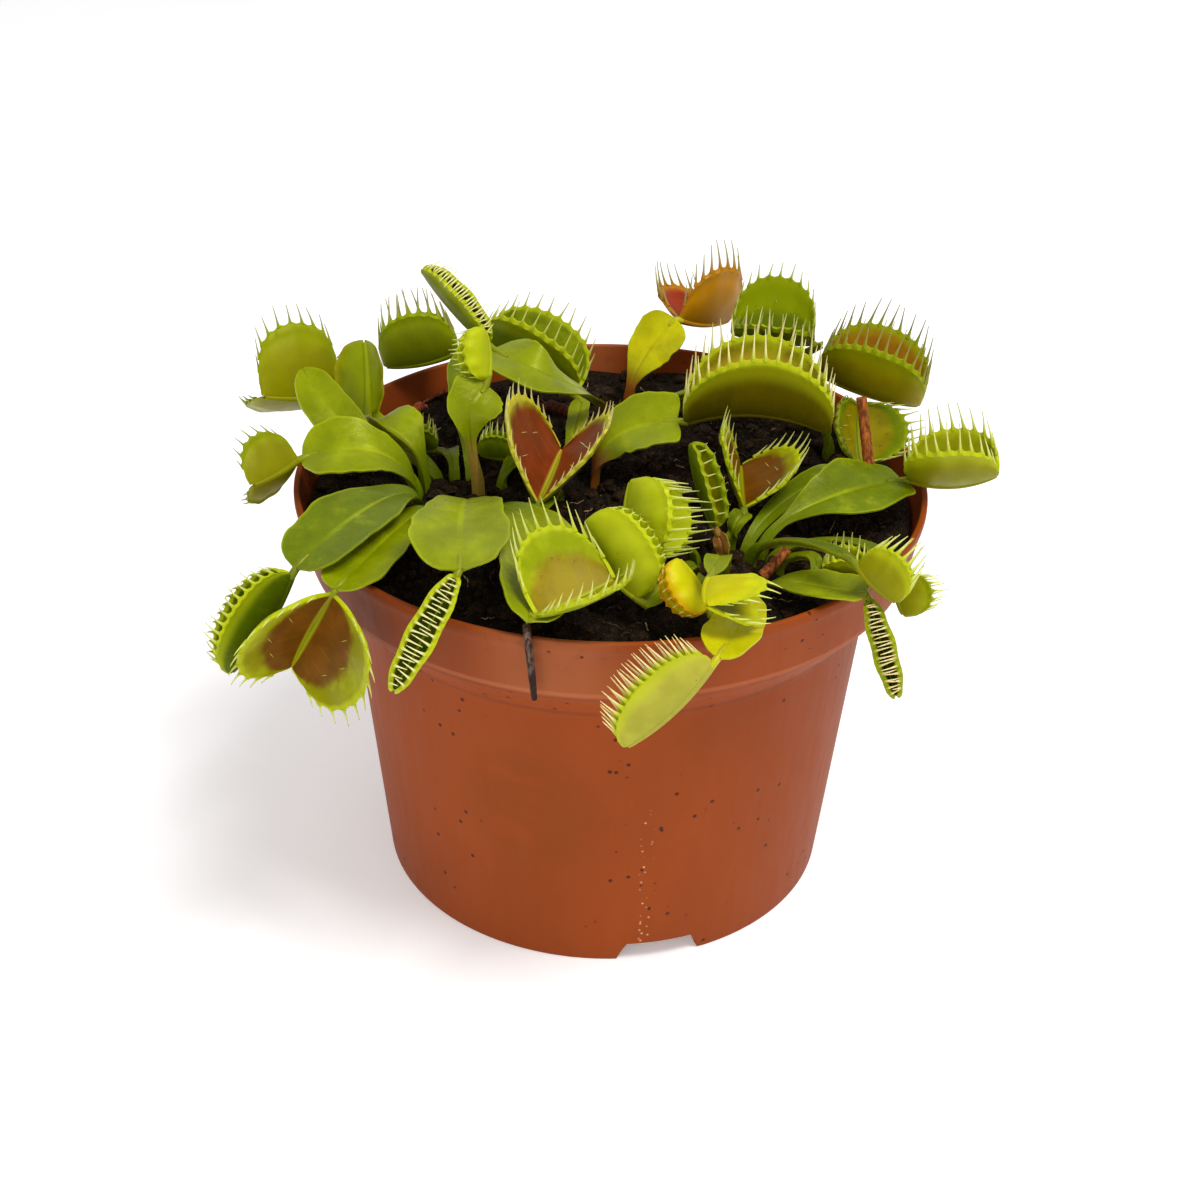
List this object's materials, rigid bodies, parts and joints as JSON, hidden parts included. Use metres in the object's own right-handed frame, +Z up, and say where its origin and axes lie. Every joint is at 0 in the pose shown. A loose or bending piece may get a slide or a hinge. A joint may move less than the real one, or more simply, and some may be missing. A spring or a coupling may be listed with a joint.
{
  "type": "potted venus flytrap",
  "caption": "Small carnivorous houseplant with toothed hinged trap leaves, growing from dark peat in a round tapered plastic pot that stands on its foot.",
  "frame": {"origin": "middle of the whole plant's bounding box, in the plane the pot stands on; the pot's axis is 1.5 mm to +X and 5.8 mm to +Y of it", "axes": "+Z up along the pot's axis, -Y towards the front of the plant, +X to the right seen from the front"},
  "size_m": [0.1478, 0.1372, 0.1163],
  "materials": {
    "terracotta_plastic": "semi-matt terracotta-coloured plastic",
    "peat": "rough dark moist peat with fibres",
    "leaf_lime": "waxy lime green leaf",
    "leaf_green": "waxy deep green leaf",
    "leaf_yellow": "waxy yellow-green leaf",
    "leaf_pale": "pale green leaf with a soft bloom",
    "leaf_orange": "olive leaf flushed orange inside the trap",
    "leaf_red": "trap with a dark red inside and a cream rim",
    "cut_stub": "dry brown leaf stalk cut short",
    "dead_stalk": "dry orange-brown dead stalk",
    "root_strand": "dry dark root with a grey upper end"
  },
  "bodies": {
    "root": {"pot": "terracotta_plastic", "soil": "peat", "leaf_left_tall": "leaf_lime", "leaf_left_heart": "leaf_lime", "leaf_left_low_1": "leaf_green", "leaf_left_low_2": "leaf_orange", "leaf_left_side": "leaf_lime", "leaf_left_bare": "leaf_lime", "leaf_left_standing": "leaf_lime", "leaf_left_keeled": "leaf_lime", "leaf_left_back": "leaf_green", "leaf_left_small_1": "leaf_green", "leaf_left_under": "leaf_green", "leaf_left_small_2": "leaf_green", "leaf_left_wide": "leaf_pale", "leaf_back_high": "leaf_lime", "leaf_back_right": "leaf_lime", "leaf_back_low": "leaf_lime", "leaf_right_back": "leaf_green", "leaf_mid_red": "leaf_red", "leaf_mid_broad": "leaf_green", "leaf_mid_front": "leaf_lime", "leaf_mid_crescent": "leaf_lime", "leaf_front_long": "leaf_lime", "leaf_front_behind": "leaf_green", "leaf_front_orange": "leaf_orange", "leaf_front_edge": "leaf_green", "leaf_front_stalk": "leaf_lime", "leaf_front_left": "leaf_yellow", "leaf_front_mouth": "leaf_pale", "leaf_front_hanging": "leaf_pale", "leaf_front_tiny": "leaf_lime", "leaf_front_bulb": "leaf_lime", "leaf_front_rim": "leaf_lime", "leaf_right_brown": "leaf_orange", "cut_stub": "cut_stub", "dead_stalk": "dead_stalk", "root_strand": "root_strand"}
  },
  "joints": []
}
